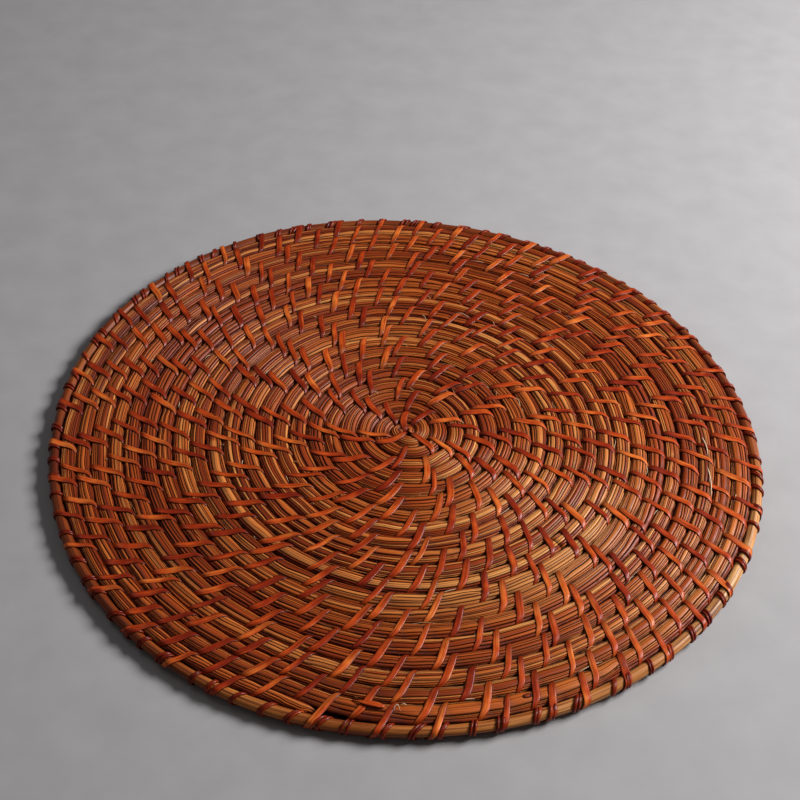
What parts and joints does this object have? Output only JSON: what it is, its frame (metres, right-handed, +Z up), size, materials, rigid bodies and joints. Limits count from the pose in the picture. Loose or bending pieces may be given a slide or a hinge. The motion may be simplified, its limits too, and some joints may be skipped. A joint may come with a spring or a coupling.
{
  "type": "round coiled placemat",
  "caption": "Round table mat of a split rattan bundle wound in a flat spiral, sewn with cane, with a stouter reed bound round its edge. It lies flat under tableware.",
  "frame": {"origin": "under the middle of the mat, on the surface it lies on", "axes": "+Z up through the mat's thickness; the picture was taken from the -Y side"},
  "size_m": [0.3504, 0.35, 0.0078],
  "materials": {
    "split_rattan": "split rattan core, stained golden brown, satin varnish, dark between the strands",
    "whole_reed": "smooth whole reed, honey tan, satin varnish",
    "cane_peel": "rattan peel, red brown, glossy varnish"
  },
  "bodies": {
    "root": {"coil_bundle": "split_rattan", "edge_reed": "whole_reed", "edge_strip": "cane_peel"}
  },
  "joints": []
}
